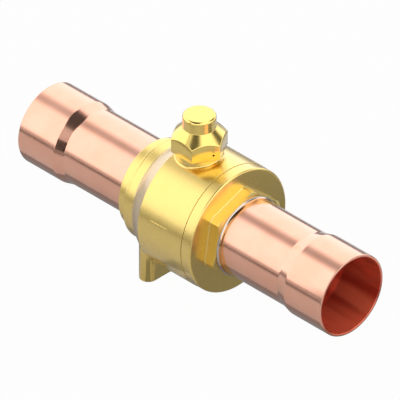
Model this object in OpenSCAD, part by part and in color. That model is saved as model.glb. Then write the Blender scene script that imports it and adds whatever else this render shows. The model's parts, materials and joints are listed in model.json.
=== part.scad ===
// Shut-off ball valve for a refrigerant line, with copper tube ends to braze in.
// +X runs along the line from inlet to outlet, +Z up along the stem.
// The origin lies under the stem, on the underside of the foot.

/* [Copper tubes] */
// Outside diameter of the line that the valve fits
tube_od = 54; // [50:0.5:56]
// Wall of the copper tubes
tube_wall = 2; // [1.5:0.1:2.4]
// Length over both tube mouths
overall_length = 276.8; // [260:0.2:300]
// Depth of the widened mouth that takes the pipe
socket_depth = 32.4; // [25:0.1:36]
// Wall of the widened mouth
socket_wall = 1.9; // [1.5:0.1:2.3]
// Radial gap round the pipe in the widened mouth, for the braze to run in
pipe_gap = 0.1; // [0.06:0.01:0.15]
// Length of the flare between tube and widened mouth
flare_length = 8; // [6:0.5:12]
// Depth to which each tube enters the brass
braze_depth = 11; // [9:0.5:13]
// Radial gap between tube and brass
braze_gap = 0.05; // [0.03:0.01:0.1]
// Length of the braze fillet along each tube
braze_length = 3; // [2:0.1:3.5]

/* [Ball and seats] */
// Brass between the ball's port and its crown
ball_cheek = 10; // [9:0.1:12]
// Gap that the model leaves between ball and seats
ball_gap = 0.3; // [0.2:0.05:0.4]
// Gap round the ball in its chamber
chamber_gap = 1.2; // [1:0.1:1.8]
// Radial width of a seat ring
seat_width = 6.1; // [5.6:0.1:6.6]
// Length of a seat ring along the pipe
seat_length = 11.7; // [10.5:0.1:12.5]
// Flat rim of a seat ring outside its ball face
seat_land = 1.3; // [1:0.1:1.8]
// How much wider than the port a seat ring is, on the radius
seat_lip = 0.4; // [0.2:0.1:0.8]
// Radial gap round a seat ring in its pocket
seat_fit = 0.1; // [0.05:0.01:0.2]
// Play behind a seat ring
seat_play = 0.2; // [0.1:0.05:0.3]
// How far a seat pocket reaches past its seat towards the ball
pocket_lead = 0.7; // [0.4:0.1:1]
// Depth of the slot on the ball that takes the stem's tang
ball_slot_depth = 6; // [5:0.1:7]

/* [Body] */
// Wall of the round body outside the joint's thread
barrel_wall = 5.45; // [4.8:0.05:7]
// Start of the full diameter, from the stem axis towards the inlet
barrel_lead = 12.5; // [10:0.5:15]
// Wall of the turned neck round the inlet seat
neck_wall = 4.7; // [4:0.1:6.4]
// Length of that neck
neck_length = 9.1; // [6:0.1:11]
// Wall of the collar round the inlet tube
collar_wall = 4.95; // [4:0.05:6]
// Length of that collar
collar_length = 8.3; // [6:0.1:10]
// Depth of the forged skin under the turned round beside it
skin_step = 0.4; // [0.2:0.1:0.6]
// Thickness of brass between the inlet tube and the seat
body_web = 1.9; // [1.5:0.1:3]
// Distance of the body's joint with its connector from the stem axis
joint_reach = 27.3; // [26:0.1:29]
// Small chamfer on turned edges
edge = 0.5; // [0.3:0.1:0.8]

/* [Foot] */
// Thickness of the foot along the pipe
foot_t = 12.2; // [11:0.1:14]
// Distance of the two tapped holes in the foot
foot_hole_spacing = 65.4; // [60:0.2:68]
// Distance of the foot's middle from the stem axis, towards the inlet
foot_offset = 14.1; // [12:0.1:16]
// Height by which the foot stands out under the round body
foot_proud = 0.5; // [0.3:0.1:3]
// Tapping diameter of the foot's holes
foot_hole_d = 6.8; // [5:0.1:7]
// Depth of the foot's holes
foot_hole_depth = 14; // [10:0.5:15]

/* [End connector] */
// How much the flange stands back from the round body, on the radius
flange_step = 0.25; // [0.1:0.05:1]
// Length of the flange
flange_length = 8.2; // [7:0.1:9]
// Rounding on the rim of the flange
flange_round = 1.3; // [0.8:0.1:2]
// Wall of the connector's hexagon over the tube, at its flats
hex_wall = 1.45; // [1.2:0.05:3]
// How far the hexagon's corners stand out over its flats once turned off
hex_corner = 3.5; // [2.5:0.1:3.8]
// Angle of a corner of that hexagon above the horizontal when screwed tight
hex_turn = 20; // [0:1:59]
// Thickness of brass between the outlet tube and the seat
connector_web = 3.4; // [2.8:0.1:4.5]
// How far the threaded nose reaches past its seat pocket
nose_lead = 2.7; // [2:0.1:3.5]
// Room round the ball at the tip of the nose
nose_room = 1.4; // [1:0.1:2]
// Land between the tip of the nose and its seal groove
nose_land = 1.2; // [1:0.1:1.8]
// Step from the chamber's wall out to the thread
thread_step = 2.8; // [2.6:0.1:3.4]
// Radial gap in the joint's thread, modelled plain
thread_gap = 0.1; // [0.05:0.01:0.2]

/* [Seal rings] */
// Gap that a seal ring keeps to each face of its groove
ring_gap = 0.03; // [0.02:0.01:0.05]
// Cord of the ring behind each seat
seat_cord = 2; // [1.8:0.1:2.2]
// Cord of the ring that seals the joint
joint_cord = 2; // [1.8:0.1:2.2]
// Cord of the two rings on the stem
stem_cord = 1.6; // [1.4:0.1:1.8]
// Distance of each stem ring from its end of the stem's bore
stem_ring_inset = 3.4; // [2.5:0.1:4]

/* [Stem] */
// Diameter of the stem
stem_d = 14; // [13:0.1:14.4]
// Radial running gap of the stem in its bore
stem_gap = 0.05; // [0.03:0.01:0.08]
// Diameter of the collar that keeps the stem from blowing out
stem_collar_d = 20.8; // [20:0.2:22]
// Thickness of that collar
stem_collar_t = 3.4; // [2.8:0.1:3.8]
// Depth of the pocket above the chamber for the collar
stem_pocket_depth = 4.6; // [4.3:0.1:5.2]
// Radial gap round the collar
stem_collar_gap = 0.3; // [0.2:0.05:0.5]
// Thickness of the tang that drives the ball
tang_t = 7.9; // [7:0.1:9]
// Play of the tang in the ball's slot, on each side
tang_play = 0.15; // [0.1:0.01:0.2]
// Width across the flats of the square that the key turns
square_af = 10; // [9:0.1:10.8]
// How far the square's turned corners stand back from the stem's round
square_step = 0.4; // [0.3:0.1:0.8]
// Gap round the tang under the ball's slot
tang_foot_gap = 0.3; // [0.2:0.05:0.5]
// Height of the square's end over the rim of the spigot
stem_rise = 7.5; // [6.5:0.1:8.5]
// Thickness of the slip washer above the collar
thrust_washer_t = 1; // [0.8:0.1:1.2]
// Clearance between faces that slide on each other
slide_gap = 0.1; // [0.05:0.01:0.15]

/* [Stop] */
// Turn of the stem between open and closed
quarter_turn = 90; // [80:1:95]
// Width of the ring round the stem that holds pin and washer
stop_width = 3.85; // [3.4:0.05:4.4]
// Gap round the stop washer
stop_washer_gap = 0.4; // [0.3:0.05:0.6]
// Diameter of the stop pin
stop_pin_d = 2.4; // [2:0.1:2.6]
// Thickness of the stop washer
stop_washer_t = 1.8; // [1.5:0.1:2]
// Gap between stop washer and pin at each end of the turn
stop_gap = 0.15; // [0.1:0.01:0.2]
// Thickness of the circlip over the stop washer
circlip_t = 1; // [0.8:0.1:1.1]
// Radial width of the circlip
circlip_w = 2.2; // [1.8:0.1:2.4]
// How far the circlip's groove stays outside the square's flats
circlip_bite = 0.3; // [0.2:0.05:0.5]

/* [Spigot and cap] */
// Wall of the spigot round its recess
spigot_wall = 2; // [1.6:0.1:2.6]
// How far the boss stands out round the spigot
boss_shoulder = 2.6; // [1.6:0.1:4]
// Height of the boss over the crown of the round body
boss_rise = 3.25; // [2.5:0.05:5]
// Fillet at the foot of the boss
boss_fillet = 1.1; // [0.8:0.1:1.6]
// Height of the spigot over the boss
spigot_height = 10.3; // [9.5:0.1:11.5]
// Depth of the recess in the spigot that holds the stop
recess_depth = 3.9; // [3.4:0.1:4.4]
// Wall of the cap outside its thread, at the hexagon's flats
cap_wall = 3.4; // [3:0.1:4.5]
// Height of the cap's hexagon up to its corners
cap_hex_height = 10; // [9:0.1:11]
// Height of the cap's cone
cap_cone_height = 7.7; // [7:0.1:9]
// Wall of the knob round the hollow over the stem
knob_wall = 1.75; // [1.5:0.05:2.5]
// Rounding on the knob's top edge
knob_round = 1.5; // [0.5:0.1:2]
// Gap between cap and boss when the cap is screwed down
cap_gap = 0.3; // [0.2:0.05:0.5]
// Radial gap in the cap's thread, modelled plain
cap_thread_gap = 0.2; // [0.15:0.01:0.3]
// Width of the cap's shoulder that presses on the gasket
cap_shoulder_w = 3.5; // [3:0.1:3.8]
// Free height over the end of the stem
cap_headroom = 5.5; // [5:0.1:6.5]
// Thickness of the cap's top
cap_top_t = 3.7; // [3:0.1:5]
// Thickness of the cap's gasket
gasket_t = 1.2; // [1:0.1:1.5]
// Diameter of the vent that lets gas off before the cap is free
vent_d = 1.6; // [1.2:0.1:2]
// Height of the vent over the cap's lower edge
vent_height = 4; // [2.5:0.1:5]
// Distance of the vent from the middle of its flat
vent_shift = 5.1; // [0:0.1:6]

/* [Hidden] */
$fn = 96;
over = 1;
// Gap between pieces that rest on each other
rest_gap = 0.05;

brass = "#d8b252";
copper = "#e3a183";
silver_braze = "#d5d6d3";
plated = "#c3c6c9";
ptfe = "#f1efe9";
rubber = "#26262a";
steel = "#9fa3a8";

// Pipe, ports and seats, as radii and distances from the stem axis
tube_r = tube_od / 2;
port_r = tube_r - tube_wall;
socket_r = tube_r + pipe_gap;
mouth_x = overall_length / 2;
socket_x = mouth_x - socket_depth;
flare_x = socket_x - flare_length;
ball_r = port_r + ball_cheek;
chamber_r = ball_r + chamber_gap;
seat_in_r = port_r + seat_lip;
seat_out_r = seat_in_r + seat_width;
pocket_r = seat_out_r + seat_fit;
seat_front_x = sqrt(pow(ball_r, 2) - pow(seat_out_r - seat_land, 2));
seat_back_x = seat_front_x + seat_length;
pocket_x = seat_back_x + seat_play;
pocket_mouth_x = seat_front_x - pocket_lead;

// Seal rings of seats and joint
seat_groove_depth = seat_cord + 2 * ring_gap - seat_play;
seat_groove_w = seat_cord + 4 * ring_gap;
seat_groove_r = seat_in_r + (seat_width - seat_groove_w) / 2;
thread_r = chamber_r + thread_step;
nose_r = thread_r - thread_gap;
joint_groove_r = thread_r - joint_cord - 2 * ring_gap;
joint_groove_w = joint_cord + 4 * ring_gap;

// Faces along the pipe
barrel_r = thread_r + barrel_wall;
neck_r = pocket_r + neck_wall;
collar_r = tube_r + braze_gap + collar_wall;
inlet_face_x = pocket_x + body_web + braze_depth;
neck_x = inlet_face_x - collar_length;
skin_x = neck_x - neck_length;
flange_r = barrel_r - flange_step;
flange_x = joint_reach + flange_length;
outlet_face_x = pocket_x + connector_web + braze_depth;
nose_x = pocket_mouth_x - nose_lead;
nose_mouth_r = sqrt(pow(ball_r, 2) - pow(nose_x, 2)) + nose_room;
joint_groove_x = nose_x + nose_land;
hex_flat_r = tube_r + braze_gap + hex_wall;
hex_corner_r = hex_flat_r / cos(30);
hex_turned_r = hex_flat_r + hex_corner;

// Heights over the pipe axis, from the chamber up
axis_height = barrel_r + foot_proud;
stem_r = stem_d / 2;
stem_bore_r = stem_r + stem_gap;
stem_collar_r = stem_collar_d / 2;
pocket_top = chamber_r + stem_pocket_depth;
stem_collar_top = pocket_top - thrust_washer_t - slide_gap;
slot_floor = ball_r - ball_slot_depth;
stem_groove_r = stem_bore_r - stem_cord - 2 * ring_gap;
stem_groove_w = stem_cord + 4 * ring_gap;
boss_top = barrel_r + boss_rise;
spigot_top = boss_top + spigot_height;
recess_r = stem_bore_r + stop_width;
recess_floor = spigot_top - recess_depth;
spigot_r = recess_r + spigot_wall;
boss_r = spigot_r + boss_shoulder;
lower_ring_z = pocket_top + stem_ring_inset;
upper_ring_z = recess_floor - stem_ring_inset;
stem_top = spigot_top + stem_rise;

// Stop, on the square of the stem
square_corner_r = stem_r - square_step;
stop_pin_r = stop_pin_d / 2;
stop_pin_place = (stem_bore_r + recess_r) / 2;
stop_washer_r = recess_r - stop_washer_gap;
stop_washer_z = recess_floor + slide_gap;
stop_washer_top = stop_washer_z + stop_washer_t;
stop_slot_r = stop_pin_r + stop_gap;
stop_pin_angle = -45;
stop_pin_sunk = 3.4;
pin_fit = 0.02;
circlip_r = square_af / 2 + circlip_bite;
circlip_z = stop_washer_top + rest_gap;

// Cap
cap_base = boss_top + cap_gap;
cap_cone_z = cap_base + cap_hex_height;
knob_z = cap_cone_z + cap_cone_height;
cap_bore_r = spigot_r + cap_thread_gap;
cap_corner_r = (cap_bore_r + cap_wall) / cos(30);
gasket_z = spigot_top + rest_gap;
cap_shoulder = gasket_z + gasket_t + rest_gap;
cap_hollow_r = spigot_r - cap_shoulder_w;
knob_r = cap_hollow_r + knob_wall;
cap_roof = stem_top + cap_headroom;
cap_top = cap_roof + cap_top_t;
vent_face_angle = -30;

// Points of an arc round [r, z], as radius and height
function arc(centre, size, from, to, steps = 6) =
    [for (i = [0:steps]) let (a = from + (to - from) * i / steps)
        centre + size * [cos(a), sin(a)]];

// Lays what stands along +Z at the pipe axis down along +X
module along_pipe() {
    translate([0, 0, axis_height]) rotate([0, 90, 0]) children();
}

// Sets what is measured from the pipe axis at its height
module over_axis() {
    translate([0, 0, axis_height]) children();
}

// Turned shape from points of radius and place along its axis
module turned(points) {
    rotate_extrude() polygon(points);
}

// Ring of round cord
module cord_ring(middle_r, cord) {
    rotate_extrude() translate([middle_r, 0]) circle(d = cord, $fn = 32);
}

// Plain ring between two radii
module flat_ring(inner_r, outer_r, height) {
    difference() {
        cylinder(r = outer_r, h = height);
        translate([0, 0, -over]) cylinder(r = inner_r, h = height + 2 * over);
    }
}

// Square with its corners turned off
module turned_square(af, corner_r) {
    intersection() {
        square(af, center = true);
        circle(corner_r);
    }
}

// Outside of the body, turned from the forging up to its joint
module barrel() {
    along_pipe() turned([
        [0, -inlet_face_x], [collar_r - edge, -inlet_face_x], [collar_r, edge - inlet_face_x],
        [collar_r, -neck_x], [neck_r - edge, -neck_x], [neck_r, edge - neck_x],
        [neck_r, -skin_x], [barrel_r - skin_step, -barrel_lead], [barrel_r, skin_step - barrel_lead],
        [barrel_r, joint_reach - edge], [barrel_r - edge, joint_reach], [0, joint_reach]
    ]);
}

// Boss for the stem, with a fillet that follows the round of the body in fine steps
module boss() {
    steps = 5;
    over_axis() cylinder(r = boss_r, h = boss_top);
    for (i = [1:steps]) {
        angle = 90 * (i - 0.5) / steps;
        intersection() {
            over_axis() cylinder(r = boss_r + boss_fillet * (1 - sin(angle)), h = boss_top);
            along_pipe() translate([0, 0, -2 * boss_r])
                cylinder(r = barrel_r + boss_fillet * (1 - cos(angle)), h = 4 * boss_r, $fn = 128);
        }
    }
}

// Spigot that the cap screws on, its thread left plain
module spigot() {
    over_axis() turned([
        [0, boss_top - over], [spigot_r, boss_top - over], [spigot_r, spigot_top - edge],
        [spigot_r - edge, spigot_top], [0, spigot_top]
    ]);
}

// Foot with round ends about its two tapped holes
module foot() {
    translate([-foot_offset, 0, 0]) linear_extrude(axis_height) union() {
        square([foot_t, foot_hole_spacing], center = true);
        for (side = [-1, 1])
            translate([0, side * foot_hole_spacing / 2]) circle(d = foot_t);
    }
}

// Tapped hole of the foot at its tapping diameter, with a drill point and a countersink
module foot_hole() {
    hole_r = foot_hole_d / 2;
    point = hole_r / tan(59);
    turned([
        [0, -over], [hole_r + edge + over, -over], [hole_r, edge],
        [hole_r, foot_hole_depth], [0, foot_hole_depth + point]
    ]);
}

// Inside of the body along the pipe: tube socket, port, seat pocket, chamber and thread
module body_hollow() {
    tube_hole_r = tube_r + braze_gap;
    web_x = pocket_x + body_web;
    chamber_end_x = nose_x - seat_play;
    along_pipe() turned([
        [0, -inlet_face_x - over], [tube_hole_r, -inlet_face_x - over], [tube_hole_r, -web_x],
        [port_r, -web_x], [port_r, -pocket_x], [pocket_r, -pocket_x],
        [pocket_r, -pocket_mouth_x], [chamber_r, -pocket_mouth_x], [chamber_r, chamber_end_x],
        [thread_r, chamber_end_x], [thread_r, joint_reach - edge],
        [thread_r + edge + over, joint_reach + over], [0, joint_reach + over]
    ]);
}

// Bore for the stem, with the pocket for its collar below and the recess for the stop above
module stem_hollow() {
    over_axis() turned([
        [0, 0], [stem_collar_r + stem_collar_gap, 0], [stem_collar_r + stem_collar_gap, pocket_top],
        [stem_bore_r, pocket_top], [stem_bore_r, recess_floor], [recess_r, recess_floor],
        [recess_r, spigot_top + over], [0, spigot_top + over]
    ]);
}

module valve_body() {
    color(brass) difference() {
        union() {
            barrel();
            boss();
            spigot();
            foot();
        }
        body_hollow();
        stem_hollow();
        for (side = [-1, 1])
            translate([-foot_offset, side * foot_hole_spacing / 2, 0]) foot_hole();
        rotate(stop_pin_angle)
            translate([stop_pin_place, 0, axis_height + recess_floor - stop_pin_sunk])
                cylinder(r = stop_pin_r + pin_fit, h = stop_pin_sunk + over);
    }
}

// Flange and threaded nose of the connector, with the groove for the joint's seal ring
module connector_turning() {
    along_pipe() turned(concat(
        [
            [0, nose_x], [nose_r - edge, nose_x], [nose_r, nose_x + edge], [nose_r, joint_groove_x],
            [joint_groove_r, joint_groove_x], [joint_groove_r, joint_groove_x + joint_groove_w],
            [nose_r, joint_groove_x + joint_groove_w], [nose_r, joint_reach],
            [flange_r - edge, joint_reach], [flange_r, joint_reach + edge]
        ],
        arc([flange_r - flange_round, flange_x - flange_round], flange_round, 0, 90),
        [[0, flange_x]]
    ));
}

// Hexagon for the wrench, its corners turned off
module connector_hex() {
    chamfer = 1;
    along_pipe() intersection() {
        translate([0, 0, flange_x - over]) rotate(hex_turn + 90)
            cylinder(r = hex_corner_r, h = outlet_face_x - flange_x + over, $fn = 6);
        turned([
            [0, flange_x - over], [hex_turned_r, flange_x - over],
            [hex_turned_r, outlet_face_x - chamfer],
            [hex_turned_r - 2 * chamfer, outlet_face_x], [0, outlet_face_x]
        ]);
    }
}

module end_connector() {
    tube_hole_r = tube_r + braze_gap;
    web_x = pocket_x + connector_web;
    color(brass) difference() {
        union() {
            connector_turning();
            connector_hex();
        }
        along_pipe() turned([
            [0, nose_x - over], [nose_mouth_r, nose_x - over], [nose_mouth_r, nose_x],
            [pocket_r, pocket_mouth_x], [pocket_r, pocket_x], [port_r, pocket_x],
            [port_r, web_x], [tube_hole_r, web_x],
            [tube_hole_r, outlet_face_x + over], [0, outlet_face_x + over]
        ]);
    }
}

// Copper tube from its seat in the brass out to the widened mouth, on the +X side
module copper_tube(start_x) {
    wide_r = socket_r + socket_wall;
    lip = 0.3;
    steps = 8;
    function flare(low, high, shift) =
        [for (i = [0:steps]) let (t = i / steps)
            [low + (high - low) * (1 - cos(180 * t)) / 2, flare_x + shift + flare_length * t]];
    function backwards(points) = [for (i = [len(points) - 1:-1:0]) points[i]];
    color(copper) along_pipe() turned(concat(
        [[port_r, start_x], [tube_r - lip, start_x], [tube_r, start_x + lip]],
        flare(tube_r, wide_r, 0),
        [[wide_r, mouth_x - lip], [wide_r - lip, mouth_x], [socket_r + lip, mouth_x],
            [socket_r, mouth_x - lip]],
        backwards(flare(port_r, socket_r, 0))
    ));
}

module inlet_tube() {
    mirror([1, 0, 0]) copper_tube(pocket_x + body_web + seat_play);
}

module outlet_tube() {
    copper_tube(pocket_x + connector_web + seat_play);
}

// Hollow fillet of braze between a tube and the face of the brass, on the +X side
module braze_ring(face_x) {
    lip = 0.25;
    foot_w = hex_wall - lip / 2;
    inner_r = tube_r + braze_gap;
    steps = 10;
    hollow = [for (i = [0:steps]) let (a = 90 * i / steps) [
        inner_r + lip + (foot_w - lip) * (1 - sin(a)),
        face_x + lip + (braze_length - lip) * (1 - cos(a))
    ]];
    color(silver_braze) along_pipe() turned(concat(
        [[inner_r, face_x], [inner_r + foot_w, face_x]],
        hollow,
        [[inner_r, face_x + braze_length]]
    ));
}

module inlet_braze_ring() {
    mirror([1, 0, 0]) braze_ring(inlet_face_x);
}

module outlet_braze_ring() {
    braze_ring(outlet_face_x);
}

// Ball with its port along the pipe and the drive slot across its top
module ball() {
    slot_w = tang_t + 2 * tang_play;
    color(plated) over_axis() difference() {
        sphere(ball_r);
        rotate([0, 90, 0]) cylinder(r = port_r, h = 2 * (ball_r + over), center = true);
        translate([-slot_w / 2, -ball_r - over, slot_floor])
            cube([slot_w, 2 * (ball_r + over), ball_slot_depth + over]);
    }
}

// Seat ring with a ball-shaped face and a groove behind for its spring ring, on the +X side
module seat() {
    color(ptfe) over_axis() difference() {
        rotate([0, 90, 0]) translate([0, 0, seat_front_x])
            flat_ring(seat_in_r, seat_out_r, seat_length);
        sphere(ball_r + ball_gap);
        rotate([0, 90, 0]) translate([0, 0, seat_back_x - seat_groove_depth])
            flat_ring(seat_groove_r, seat_groove_r + seat_groove_w, seat_groove_depth + over);
    }
}

module inlet_seat() {
    mirror([1, 0, 0]) seat();
}

module outlet_seat() {
    seat();
}

// Rubber ring that presses a seat on the ball, on the +X side
module seat_o_ring() {
    middle_x = pocket_x - ring_gap - seat_cord / 2;
    color(rubber) along_pipe() translate([0, 0, middle_x])
        cord_ring(seat_groove_r + seat_groove_w / 2, seat_cord);
}

module inlet_seat_o_ring() {
    mirror([1, 0, 0]) seat_o_ring();
}

module outlet_seat_o_ring() {
    seat_o_ring();
}

module joint_o_ring() {
    color(rubber) along_pipe() translate([0, 0, joint_groove_x + joint_groove_w / 2])
        cord_ring(joint_groove_r + ring_gap + joint_cord / 2, joint_cord);
}

// Turned part of the stem: collar below, grooves for two seal rings above
module stem_turning() {
    turned([
        [0, stem_collar_top - stem_collar_t], [stem_collar_r, stem_collar_top - stem_collar_t],
        [stem_collar_r, stem_collar_top], [stem_r, stem_collar_top],
        [stem_r, lower_ring_z - stem_groove_w / 2], [stem_groove_r, lower_ring_z - stem_groove_w / 2],
        [stem_groove_r, lower_ring_z + stem_groove_w / 2], [stem_r, lower_ring_z + stem_groove_w / 2],
        [stem_r, upper_ring_z - stem_groove_w / 2], [stem_groove_r, upper_ring_z - stem_groove_w / 2],
        [stem_groove_r, upper_ring_z + stem_groove_w / 2], [stem_r, upper_ring_z + stem_groove_w / 2],
        [stem_r, stop_washer_z], [0, stop_washer_z]
    ]);
}

// Tang under the collar, as milled from the collar's round
module stem_tang() {
    low = slot_floor + tang_foot_gap;
    intersection() {
        translate([0, 0, low])
            cylinder(r = stem_collar_r, h = stem_collar_top - stem_collar_t + over - low);
        translate([-tang_t / 2, -stem_collar_r - over, low])
            cube([tang_t, 2 * (stem_collar_r + over), ball_r]);
    }
}

// Square for the key, with a groove for the circlip and a sawn mark along the port
module stem_square() {
    mark_w = 1.4;
    mark_depth = 1.2;
    difference() {
        translate([0, 0, stop_washer_z - over]) linear_extrude(stem_top - stop_washer_z + over)
            turned_square(square_af, square_corner_r);
        translate([0, 0, stop_washer_top])
            flat_ring(circlip_r, square_corner_r + over, circlip_t + slide_gap);
        translate([-square_corner_r - over, -mark_w / 2, stem_top - mark_depth])
            cube([2 * (square_corner_r + over), mark_w, mark_depth + over]);
    }
}

module stem() {
    color(plated) over_axis() union() {
        stem_turning();
        stem_tang();
        stem_square();
    }
}

module thrust_washer() {
    color(ptfe) over_axis() translate([0, 0, stem_collar_top])
        flat_ring(stem_bore_r + slide_gap, stem_collar_r, thrust_washer_t);
}

module stem_o_ring(ring_z) {
    color(rubber) over_axis() translate([0, 0, ring_z])
        cord_ring(stem_groove_r + ring_gap + stem_cord / 2, stem_cord);
}

module lower_stem_o_ring() {
    stem_o_ring(lower_ring_z);
}

module upper_stem_o_ring() {
    stem_o_ring(upper_ring_z);
}

// Pin in the floor of the recess, just below the top of the stop washer
module stop_pin() {
    pin_top = stop_washer_top - slide_gap;
    color(steel) over_axis() rotate(stop_pin_angle)
        translate([stop_pin_place, 0, recess_floor - stop_pin_sunk + slide_gap])
            cylinder(r = stop_pin_r, h = pin_top - recess_floor + stop_pin_sunk - slide_gap);
}

// Washer on the square, with a slot that lets the stem make its turn round the pin
module stop_washer() {
    reach = 2 * stop_washer_r;
    color(steel) over_axis() translate([0, 0, stop_washer_z]) linear_extrude(stop_washer_t)
        difference() {
            circle(stop_washer_r);
            turned_square(square_af + 2 * rest_gap, square_corner_r + rest_gap);
            rotate(stop_pin_angle) {
                difference() {
                    polygon([
                        [0, 0], [reach, 0], [reach, reach],
                        reach * [cos(quarter_turn), sin(quarter_turn)]
                    ]);
                    circle(stop_pin_place - stop_slot_r);
                }
                for (turn = [0, quarter_turn])
                    rotate(turn) pin_slot_end();
            }
        }
}

// Round-ended way out of the stop washer, as wide as the pin with its gap
module pin_slot_end() {
    translate([stop_pin_place, 0]) circle(stop_slot_r, $fn = 32);
    translate([stop_pin_place, -stop_slot_r]) square([stop_washer_r, 2 * stop_slot_r]);
}

// Circlip with two eyes for the pliers, open towards the outlet
module circlip() {
    eye_r = 1.3;
    eye_hole_r = 0.55;
    eye_place = circlip_r + 1.5 * eye_r;
    eye_angle = 24;
    opening = 2 * recess_r * tan(eye_angle / 2);
    color(steel) over_axis() translate([0, 0, circlip_z]) linear_extrude(circlip_t)
        difference() {
            union() {
                circle(circlip_r + circlip_w);
                for (side = [-1, 1])
                    rotate(side * eye_angle) translate([eye_place, 0]) circle(eye_r, $fn = 32);
            }
            circle(circlip_r + rest_gap);
            polygon([[0, 0], [2 * recess_r, opening], [2 * recess_r, -opening]]);
            for (side = [-1, 1])
                rotate(side * eye_angle) translate([eye_place, 0]) circle(eye_hole_r, $fn = 32);
        }
}

module cap_gasket() {
    setback = 0.3;
    color(ptfe) over_axis() translate([0, 0, gasket_z])
        flat_ring(cap_hollow_r + setback, spigot_r, gasket_t);
}

// Outside of the cap: hexagon under a cone, and a round knob
module cap_outside() {
    spread = 1;
    cone_rise = spread * cap_cone_height / (cap_corner_r - knob_r);
    intersection() {
        translate([0, 0, cap_base]) cylinder(r = cap_corner_r, h = cap_top - cap_base + over, $fn = 6);
        turned(concat(
            [
                [0, cap_base], [cap_corner_r + spread, cap_base],
                [cap_corner_r + spread, cap_cone_z - cone_rise], [knob_r, knob_z]
            ],
            arc([knob_r - knob_round, cap_top - knob_round], knob_round, 0, 90),
            [[0, cap_top]]
        ));
    }
}

module seal_cap() {
    color(brass) over_axis() difference() {
        cap_outside();
        turned([
            [0, cap_base - over], [cap_bore_r + edge + over, cap_base - over],
            [cap_bore_r, cap_base + edge], [cap_bore_r, cap_shoulder], [cap_hollow_r, cap_shoulder],
            [cap_hollow_r, cap_roof], [0, cap_roof]
        ]);
        rotate(vent_face_angle) translate([0, vent_shift, cap_base + vent_height])
            rotate([0, 90, 0]) cylinder(d = vent_d, h = cap_corner_r + over, $fn = 32);
    }
}

valve_body();
end_connector();
inlet_tube();
outlet_tube();
inlet_braze_ring();
outlet_braze_ring();
ball();
inlet_seat();
outlet_seat();
inlet_seat_o_ring();
outlet_seat_o_ring();
joint_o_ring();
stem();
thrust_washer();
lower_stem_o_ring();
upper_stem_o_ring();
stop_pin();
stop_washer();
circlip();
cap_gasket();
seal_cap();
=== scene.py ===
import json
import math

import bpy
import numpy as np
from mathutils import Matrix, Vector


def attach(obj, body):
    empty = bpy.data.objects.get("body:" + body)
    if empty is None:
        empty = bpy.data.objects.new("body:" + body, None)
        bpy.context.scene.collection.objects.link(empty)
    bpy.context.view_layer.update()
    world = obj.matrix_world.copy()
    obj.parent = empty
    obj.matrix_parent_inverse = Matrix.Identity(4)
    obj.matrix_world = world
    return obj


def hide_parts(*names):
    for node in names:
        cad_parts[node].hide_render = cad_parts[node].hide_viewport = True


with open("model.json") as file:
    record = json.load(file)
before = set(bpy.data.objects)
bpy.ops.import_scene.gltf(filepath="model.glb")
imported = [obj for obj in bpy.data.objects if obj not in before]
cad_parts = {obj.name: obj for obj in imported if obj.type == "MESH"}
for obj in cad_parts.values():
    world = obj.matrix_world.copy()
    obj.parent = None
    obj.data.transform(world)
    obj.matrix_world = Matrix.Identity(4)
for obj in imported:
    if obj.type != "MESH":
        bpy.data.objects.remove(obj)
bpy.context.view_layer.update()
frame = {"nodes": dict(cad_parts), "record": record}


# Studio
# The camera stands where the photograph's stood: far off, 45 degrees round towards the
# outlet and 35 degrees up, with a long lens. Soft light comes from all round the valve.

def add_node(tree, kind, settings=None, values=(), **named):
    """Adds one shader node with its settings and inputs.

    Inputs are given in order as values, or by name without spaces. A socket or a node given
    for an input is linked to it, a node by its first output.
    """
    node = tree.nodes.new(kind)
    for key, value in (settings or {}).items():
        setattr(node, key, value)
    live = [socket for socket in node.inputs if socket.enabled]
    by_name = {socket.name.replace(" ", ""): socket for socket in live}
    pairs = list(zip(live, values)) + [(by_name[key], value) for key, value in named.items()]
    for socket, value in pairs:
        if isinstance(value, bpy.types.Node):
            value = next(output for output in value.outputs if output.enabled)
        if isinstance(value, bpy.types.NodeSocket):
            tree.links.new(value, socket)
        else:
            socket.default_value = value
    return node


def linear(hex_colour):
    """Linear RGBA of an sRGB hex colour."""
    srgb = np.array([int(hex_colour[i:i + 2], 16) / 255 for i in (1, 3, 5)])
    rgb = np.where(srgb <= 0.04045, srgb / 12.92, ((srgb + 0.055) / 1.055) ** 2.4)
    return (*map(float, rgb), 1.0)


def mesh_object(name, places, faces):
    """Mesh object at the origin from places in metres and the corners of each face."""
    mesh = bpy.data.meshes.new(name)
    mesh.from_pydata(places, [], faces)
    obj = bpy.data.objects.new(name, mesh)
    bpy.context.scene.collection.objects.link(obj)
    return obj


def new_material(name):
    """New material, and its node tree emptied."""
    material = bpy.data.materials.new(name)
    material.use_nodes = True
    material.node_tree.nodes.clear()
    return material, material.node_tree


# The pipe axis stands this high over the floor, in mm as all sizes of the valve are. The
# studio is in metres.
axis_height = 44.95
lens, sensor_width, picture_width = 1600, 36, 0.2593
target = Vector((0.298, 0.298, axis_height + 6.805)) / 1000
to_camera = Vector((0.5792, -0.5792, 0.5736))
camera_data = bpy.data.cameras.new("camera")
camera_data.lens = lens
camera_data.sensor_width = sensor_width
camera_data.clip_end = 100
camera = bpy.data.objects.new("camera", camera_data)
camera.location = target + to_camera * (picture_width * lens / sensor_width)
camera.rotation_euler = (camera.location - target).to_track_quat("Z", "Y").to_euler()
bpy.context.scene.collection.objects.link(camera)
bpy.context.scene.camera = camera
bpy.context.scene.view_settings.view_transform = "Standard"

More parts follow.
